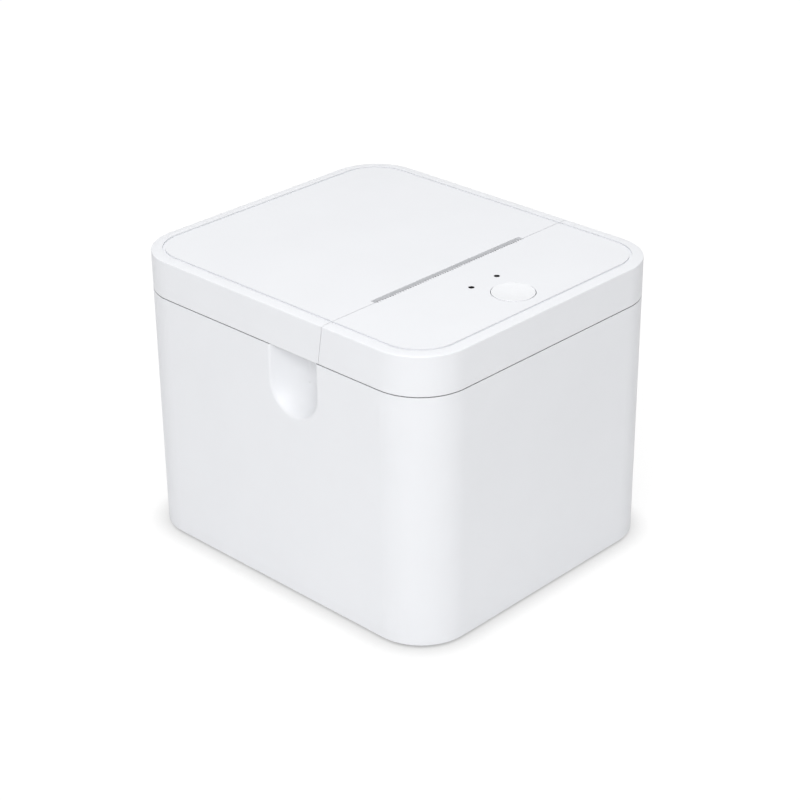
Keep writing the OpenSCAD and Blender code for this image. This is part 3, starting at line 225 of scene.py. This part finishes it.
def white_button():
    return moulded("white_button_finish", (0.82, 0.83, 0.85), 0.34, 2200, 2.5e-6)


def pale_base():
    return moulded("pale_base_finish", (0.74, 0.75, 0.77), 0.55, 2600, 9e-6)


def grey_bay():
    return moulded("grey_bay_finish", (0.072, 0.076, 0.082), 0.5, 2400, 9e-6)


def grey_guide():
    return moulded("grey_guide_finish", (0.27, 0.285, 0.30), 0.42, 2600, 6e-6)


def black_plastic():
    """Black plastic, with the plated centre pin of the inlet."""
    pin_reach = 1.2 * MM
    finish = moulded("black_plastic_finish", (0.014, 0.014, 0.015), 0.45, 2600, 7e-6)
    pin = finish.near("dc_jack", pin_reach, along="Y")
    finish.tint(pin, (0.62, 0.62, 0.60))
    finish.feed("Metallic", pin)
    return finish


def gear_plastic():
    return moulded("gear_plastic_finish", (0.74, 0.73, 0.68), 0.3, 1500, 2e-6, subsurface_weight=0.06)


def foot_rubber():
    finish = Finish("foot_rubber_finish", (0.035, 0.035, 0.037), 0.82)
    dust = finish.noise(900, 4)
    finish.tint(dust * 0.4, (0.09, 0.088, 0.085))
    finish.relief(finish.noise(2600, 3), 1.6e-5)
    return finish


def platen_rubber():
    """Silicone rubber, ground to size: fine lines round the roller."""
    finish = Finish("platen_rubber_finish", (0.030, 0.031, 0.033), 0.68)
    lines = finish.noise(9000, 1, stretch=(1, 0.02, 0.02))
    finish.tint(lines * 0.35, (0.07, 0.07, 0.072))
    finish.vary_roughness(finish.noise(500, 2), 0.12)
    finish.relief(lines, 4e-6)
    return finish


def steel(name, colour, roughness, stretch, depth=1.5e-6, scale=5000):
    """Bright steel with the lines of drawing or rolling along the shrunk axis."""
    finish = Finish(name, colour, roughness, metallic=1.0)
    lines = finish.noise(scale, 2, stretch=stretch)
    finish.tint(lines * 0.5, tuple(c * GROOVE for c in colour))
    finish.vary_roughness(finish.noise(300, 3), 0.16)
    finish.relief(lines, depth)
    return finish


def zinc_steel():
    """Zinc-plated sheet, with the cloudy blue cast of the passivation."""
    finish = Finish("zinc_steel_finish", (0.60, 0.61, 0.63), 0.36, metallic=1.0)
    cloud = finish.noise(120, 4)
    finish.tint(cloud, (0.50, 0.53, 0.60))
    finish.vary_roughness(cloud, 0.2)
    finish.relief(finish.noise(4000, 2, stretch=(1, 0.05, 1)), 1.2e-6)
    return finish


def screw_steel():
    return steel("screw_steel_finish", (0.52, 0.52, 0.54), 0.34, (1, 1, 1), scale=1800)


def shaft_steel():
    return steel("shaft_steel_finish", (0.63, 0.64, 0.65), 0.2, (1, 0.03, 0.03))


def spring_steel():
    return steel("spring_steel_finish", (0.50, 0.50, 0.52), 0.28, (1, 1, 1), scale=2500)


def pinion_brass():
    return steel("pinion_brass_finish", (0.72, 0.52, 0.22), 0.26, (1, 0.05, 0.05))


def sink_aluminium():
    return steel("sink_aluminium_finish", (0.72, 0.73, 0.74), 0.34, (1, 1, 0.03), depth=2.5e-6)


def motor_black():
    finish = Finish("motor_black_finish", (0.016, 0.016, 0.018), 0.38, coat_weight=0.25, coat_roughness=0.3)
    peel = finish.noise(700, 2)
    finish.tint(peel * 0.3, (0.03, 0.03, 0.033))
    finish.relief(peel, 8e-6)
    return finish


def head_ceramic():
    """Glazed substrate: brown glaze, fine conductors side by side, and the dark line of heating dots."""
    conductor_pitch = 0.25 * MM
    heat_line_half = 0.22 * MM
    finish = Finish("head_ceramic_finish", (0.34, 0.25, 0.15), 0.16, coat_weight=0.5, coat_roughness=0.06)
    conductors = finish.stripes("X", conductor_pitch, 0.5)
    finish.tint(conductors * 0.55, (0.60, 0.47, 0.27))
    off = (finish.axis("Z") - middle("platen_shaft").z).size()
    finish.tint(1 - off.above(heat_line_half), (0.02, 0.016, 0.014))
    finish.relief(finish.noise(1500, 2), 2e-6)
    return finish


def ribbon_film():
    """Flat cable: tinned conductors show through a pale film."""
    conductor_pitch = 1.0 * MM
    finish = Finish("ribbon_film_finish", (0.70, 0.69, 0.63), 0.3, coat_weight=0.4, coat_roughness=0.15)
    conductors = finish.stripes("X", conductor_pitch, 0.62)
    finish.tint(conductors * 0.8, (0.52, 0.53, 0.54))
    finish.relief(conductors, 2e-5)
    return finish


def board_green():
    """Solder mask over copper: a meander of traces a little lighter than the ground."""
    finish = Finish("board_green_finish", (0.012, 0.085, 0.038), 0.3, coat_weight=0.4, coat_roughness=0.2)
    cells = finish.node("ShaderNodeTexBrick", {
        "Vector": finish.place, "Color1": (0, 0, 0, 1), "Color2": (0.15, 0.15, 0.15, 1),
        "Mortar": (1, 1, 1, 1), "Scale": 130.0, "Mortar Size": 0.028, "Mortar Smooth": 0.1,
    }, offset=0.37, squash=1.6, squash_frequency=3)
    finish.tint(cells * 0.7, (0.03, 0.20, 0.085))
    finish.relief(cells, 3e-5)
    return finish


def port_metal():
    """Plated shell round a black tongue."""
    tongue_reach = 3.4 * MM
    finish = steel("port_metal_finish", (0.66, 0.66, 0.67), 0.25, (1, 0.1, 1))
    tongue = finish.near("usb_port", tongue_reach, along="Y")
    finish.tint(tongue, (0.014, 0.014, 0.015))
    finish.feed("Metallic", 1 - tongue)
    return finish


SPOT_OFF_CENTRE = 0.45  # of the window's radius, towards the front left
SPOT_SHARE = 0.36  # of the window's radius


def lamp_glass():
    """Smoked windows, each with a pale round spot painted off its middle towards the front left."""
    finish = Finish("lamp_glass_finish", (0.010, 0.010, 0.011), 0.3, ior=1.49)
    lo, hi = span("lamp_windows")
    radius = (hi.y - lo.y) / 2
    pitch = hi.x - lo.x - 2 * radius
    phase = (finish.axis("X") * (1 / pitch)).fraction()
    x = (phase - 0.5) * pitch + SPOT_OFF_CENTRE * radius
    y = finish.axis("Y") - (lo.y + hi.y) / 2 + SPOT_OFF_CENTRE * radius
    # a pale round spot painted on each window, off its middle towards the front left
    lamp = 1 - (x * x + y * y).above((SPOT_SHARE * radius) ** 2)
    finish.tint(lamp, (0.55, 0.56, 0.57))
    finish.relief(finish.noise(900, 1), 1e-6)
    return finish


FINISHES = {make.__name__: make() for make in (
    white_shell, white_button, pale_base, foot_rubber, grey_bay, grey_guide, zinc_steel, screw_steel,
    shaft_steel, spring_steel, motor_black, gear_plastic, pinion_brass, platen_rubber, head_ceramic,
    sink_aluminium, ribbon_film, board_green, black_plastic, port_metal, lamp_glass)}
SLOT_OF = {part["node"]: part["material_slot"] for part in frame["record"]["subparts"]}


def dress(node):
    """Puts its slot's finish on a CAD node."""
    frame["nodes"][node].data.materials.clear()
    frame["nodes"][node].data.materials.append(FINISHES[SLOT_OF[node]].material)


for cad_node in sorted(frame["nodes"]):
    dress(cad_node)


# ---- geometry trees ----

SOCKETS = {int: "NodeSocketInt", float: "NodeSocketFloat", bpy.types.Material: "NodeSocketMaterial",
           bpy.types.Object: "NodeSocketObject"}


class Grower(Tree):
    """A Geometry Nodes tree with named inputs, whose result is kept as a plain mesh."""

    def __init__(self, name, **sizes):
        group = bpy.data.node_groups.new(name, "GeometryNodeTree")
        super().__init__(group)
        group.interface.new_socket("Geometry", in_out="INPUT", socket_type="NodeSocketGeometry")
        self.values = []
        for label, value in sizes.items():
            socket = group.interface.new_socket(label, in_out="INPUT", socket_type=SOCKETS[type(value)])
            self.values.append((socket.identifier, value))
        group.interface.new_socket("Geometry", in_out="OUTPUT", socket_type="NodeSocketGeometry")
        self.entry = group.nodes.new("NodeGroupInput")
        self.exit = group.nodes.new("NodeGroupOutput")

    def given(self, label):
        return Value(self, self.entry.outputs[label])

    def end(self, geometry):
        """Realizes the instances, sets the material and closes the tree."""
        real = self.node("GeometryNodeRealizeInstances", {0: geometry})
        done = self.node("GeometryNodeSetMaterial", {"Geometry": real, "Material": self.given("material")})
        self.group.links.new(done.socket, self.exit.inputs[0])

    def grow(self, name, seed_mesh):
        """Object with the tree's result over a seed mesh, as a plain mesh."""
        carrier = bpy.data.objects.new(name + "_seed", seed_mesh)
        bpy.context.scene.collection.objects.link(carrier)
        modifier = carrier.modifiers.new("grow", "NODES")
        modifier.node_group = self.group
        for identifier, value in self.values:
            modifier[identifier] = value
        graph = bpy.context.evaluated_depsgraph_get()
        mesh = bpy.data.meshes.new_from_object(carrier.evaluated_get(graph))
        bpy.data.objects.remove(carrier)
        grown = bpy.data.objects.new(name, mesh)
        bpy.context.scene.collection.objects.link(grown)
        return grown


def points_mesh(name, places):
    mesh = bpy.data.meshes.new(name)
    mesh.from_pydata(places, [], [])
    return mesh


def smooth(piece, angle):
    """Shades a piece smooth, with creases at edges sharper than the angle."""
    mesh = piece.data
    for face in mesh.polygons:
        face.use_smooth = True
    mesh.set_sharp_from_angle(angle=math.radians(angle))


# ---- head springs: compression coils between the frame's bar and the heat sink ----

def head_springs():
    wire = 0.7 * MM
    radius = 2.6 * MM
    lo, hi = span("head_springs")
    turns = 4.5
    tree = Grower("coil_spring", turns=turns, wire=wire, radius=radius, length=hi.y - lo.y - wire,
                  material=FINISHES["spring_steel"].material)
    helix = tree.node("GeometryNodeCurveSpiral", {
        "Resolution": 28, "Rotations": tree.given("turns"), "Start Radius": tree.given("radius"),
        "End Radius": tree.given("radius"), "Height": tree.given("length")})
    ring = tree.node("GeometryNodeCurvePrimitiveCircle", {
        "Resolution": 10, "Radius": tree.given("wire") * 0.5})
    coil = tree.node("GeometryNodeCurveToMesh", {"Curve": helix, "Profile Curve": ring, "Fill Caps": True})
    turned = tree.node("GeometryNodeTransform", {"Geometry": coil, "Rotation": (-math.pi / 2, 0, 0)})
    tree.end(tree.node("GeometryNodeInstanceOnPoints", {
        "Points": tree.given("Geometry"), "Instance": turned}))
    z = (lo.z + hi.z) / 2
    x = hi.x - radius - wire / 2
    seeds = points_mesh("spring_spots", [(s * x, lo.y + wire / 2, z) for s in (-1, 1)])
    springs = tree.grow("coil_springs", seeds)
    smooth(springs, 60)
    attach(springs, "base")
    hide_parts("head_springs")
    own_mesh(springs)


head_springs()


# ---- tear comb: pointed teeth that reach back over the slot from its near edge ----

TEETH = 61
TOOTH_ROOT = 0.95 * MM  # from the far edge of the CAD bar back to the roots
TOOTH_LENGTH = 1.25 * MM
TOOTH_DROP = 0.10 * MM  # from root to tip
TIP_SHARE = 0.06  # width of the tip in that of the root


def block(name, lo, hi):
    """Mesh of a box between two corners."""
    mesh = bpy.data.meshes.new(name)
    around = ((lo.x, lo.y), (hi.x, lo.y), (hi.x, hi.y), (lo.x, hi.y))
    places = [(x, y, z) for z in (lo.z, hi.z) for x, y in around]
    mesh.from_pydata(places, [], [
        (3, 2, 1, 0), (4, 5, 6, 7), (0, 1, 5, 4), (1, 2, 6, 5), (2, 3, 7, 6), (3, 0, 4, 7)])
    return mesh


def tear_comb():
    lo, hi = span("tear_bar")
    root = hi.y - TOOTH_ROOT
    pitch = (hi.x - lo.x) / TEETH
    blank = block("tooth", Vector((-pitch / 2, 0, lo.z - hi.z)), Vector((pitch / 2, TOOTH_LENGTH, 0)))
    for corner in blank.vertices:
        if corner.co.y > 0:
            corner.co.x *= TIP_SHARE
            if corner.co.z == 0:
                corner.co.z -= TOOTH_DROP
    tooth = bpy.data.objects.new("tooth", blank)
    bpy.context.scene.collection.objects.link(tooth)
    tree = Grower("tear_teeth", count=TEETH, pitch=pitch, tooth=tooth,
                  material=FINISHES[SLOT_OF["tear_bar"]].material)
    step = tree.node("ShaderNodeCombineXYZ", {"X": tree.given("pitch")})
    spots = tree.node("GeometryNodeMeshLine", {
        "Count": tree.given("count"), "Start Location": (lo.x + pitch / 2, root, hi.z), "Offset": step})
    shape = tree.node("GeometryNodeObjectInfo", {"Object": tree.given("tooth")}, output="Geometry")
    teeth = tree.node("GeometryNodeInstanceOnPoints", {"Points": spots, "Instance": shape})
    joined = tree.node("GeometryNodeJoinGeometry")
    tree.group.links.new(tree.given("Geometry").socket, joined.socket.node.inputs[0])
    tree.group.links.new(teeth.socket, joined.socket.node.inputs[0])
    tree.end(joined)
    bar = block("bar", lo, Vector((hi.x, root, hi.z)))
    comb = tree.grow("tear_comb", bar)
    bpy.data.objects.remove(tooth)
    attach(comb, "base")
    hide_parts("tear_bar")


tear_comb()


# ---- studio ----

LENS = 92.145  # mm, as is the width of the sensor
SENSOR = 36
CLIP = (0.02, 50)
CAMERA_AT = (-0.526245, -0.508175, 0.430068)
CAMERA_AZIMUTH = -46.086
CAMERA_ELEVATION = 27.115
CAMERA_ROLL = -0.552


def camera():
    turn, rise, roll = (math.radians(a) for a in (CAMERA_AZIMUTH, CAMERA_ELEVATION, CAMERA_ROLL))
    back = Vector((math.sin(turn) * math.cos(rise), -math.cos(turn) * math.cos(rise), math.sin(rise)))
    level = Vector((math.cos(turn), math.sin(turn), 0))
    upright = back.cross(level)
    right = level * math.cos(roll) + upright * math.sin(roll)
    up = upright * math.cos(roll) - level * math.sin(roll)
    data = bpy.data.cameras.new("camera")
    data.lens = LENS
    data.sensor_width = SENSOR
    data.clip_start, data.clip_end = CLIP
    holder = bpy.data.objects.new("camera", data)
    holder.matrix_world = Matrix.Translation(CAMERA_AT) @ Matrix((right, up, back)).transposed().to_4x4()
    bpy.context.scene.collection.objects.link(holder)
    bpy.context.scene.camera = holder


def seen_directly(tree):
    """1 for rays from the camera, in mirrors and through glass."""
    path = tree.node("ShaderNodeLightPath", output="Is Camera Ray")
    return path + path.other("Is Glossy Ray") + path.other("Is Transmission Ray")


FLOOR_HALF = 4.0  # of its side
FLOOR_PALE = 0.90  # as the object sees it
FLOOR_SHARE = 0.20  # of what is seen of the floor, the part that the lamps light
FLOOR_GLOW = 0.825  # the rest shines by itself
FLOOR_FALL = 0.05  # more glow a metre farther from the lamps
SHADOW_PAINT_REACH = 9.5 * MM  # of the painted shadow that lies along the foot of the object
# strength of that painted shadow
SHADOW_PAINT_DEPTH = 0.48


def floor():
    """Pale floor that takes the object's shadow, with a painted shadow darkest along its foot, and shows
    white elsewhere.
    """
    corners = [(x * FLOOR_HALF, y * FLOOR_HALF, 0) for x, y in ((-1, -1), (1, -1), (1, 1), (-1, 1))]
    mesh = bpy.data.meshes.new("floor")
    mesh.from_pydata(corners, [], [(0, 1, 2, 3)])
    plane = bpy.data.objects.new("floor", mesh)
    bpy.context.scene.collection.objects.link(plane)
    material = bpy.data.materials.new("floor")
    material.use_nodes = True
    tree = Tree(material.node_tree)
    tree.group.nodes.remove(tree.group.nodes["Principled BSDF"])
    plain = tree.node("ShaderNodeBsdfDiffuse", {"Color": (FLOOR_PALE, FLOOR_PALE, FLOOR_PALE, 1)})
    open_sky = tree.node("ShaderNodeAmbientOcclusion", {"Distance": SHADOW_PAINT_REACH}, output="AO", samples=8)
    at = tree.node("ShaderNodeNewGeometry", output="Position")
    x, y = (tree.node("ShaderNodeSeparateXYZ", {0: at}, output=name) for name in "XY")
    # painted contact shadow: the glow drops where the object hems the floor in
    glow = (x + y) * FLOOR_FALL + FLOOR_GLOW - (1 - open_sky) * SHADOW_PAINT_DEPTH
    white = tree.node("ShaderNodeCombineColor", {0: glow, 1: glow, 2: glow})
    seen = tree.node("ShaderNodeAddShader", {
        0: tree.node("ShaderNodeBsdfDiffuse", {"Color": (FLOOR_SHARE, FLOOR_SHARE, FLOOR_SHARE, 1)}),
        1: tree.node("ShaderNodeEmission", {"Color": white, "Strength": 1.0})})
    mixed = tree.node("ShaderNodeMixShader", {0: seen_directly(tree), 1: plain, 2: seen})
    tree.group.links.new(mixed.socket, tree.group.nodes["Material Output"].inputs["Surface"])
    mesh.materials.append(material)


SKY_LEVEL = 0.385  # light from level directions beside the object
SKY_TOP = 0.10  # more of it from straight above
SKY_NEAR = 0.12  # more from the camera's side and less from behind


def world():
    """White to the eye; to the object a soft light that is stronger from above and from the front."""
    sky = bpy.data.worlds.new("world")
    bpy.context.scene.world = sky
    sky.use_nodes = True
    tree = Tree(sky.node_tree)
    ground = tree.group.nodes["Background"]
    ground.inputs["Color"].default_value = (1, 1, 1, 1)
    way = tree.node("ShaderNodeTexCoord", output="Generated")
    x, y, z = (tree.node("ShaderNodeSeparateXYZ", {0: way}, output=name) for name in "XYZ")
    near = (x + y) * -math.sqrt(0.5)
    soft = z * SKY_TOP + near * SKY_NEAR + SKY_LEVEL
    direct = seen_directly(tree)
    strength = direct + (1 - direct) * soft
    tree.group.links.new(strength.socket, ground.inputs["Strength"])


OBJECT_MIDDLE = 0.06  # height that the lamps are aimed at
SOFTBOXES = (  # name, place, side and watts
    ("overhead", (-0.1, -0.1, 1.5), 1.0, 8.8),
    ("near_corner", (-0.84, -0.60, 0.9), 0.6, 7.4))


def softbox(name, at, aim, side, power):
    data = bpy.data.lights.new(name, "AREA")
    data.shape = "SQUARE"
    data.size = side
    data.energy = power
    lamp = bpy.data.objects.new(name, data)
    lamp.location = at
    lamp.rotation_euler = (Vector(aim) - Vector(at)).to_track_quat("-Z", "Y").to_euler()
    bpy.context.scene.collection.objects.link(lamp)


def studio():
    camera()
    floor()
    world()
    heart = (0, 0, OBJECT_MIDDLE)
    for name, at, side, power in SOFTBOXES:
        softbox(name, at, heart, side, power)
    scene = bpy.context.scene
    scene.view_settings.view_transform = "Standard"


studio()
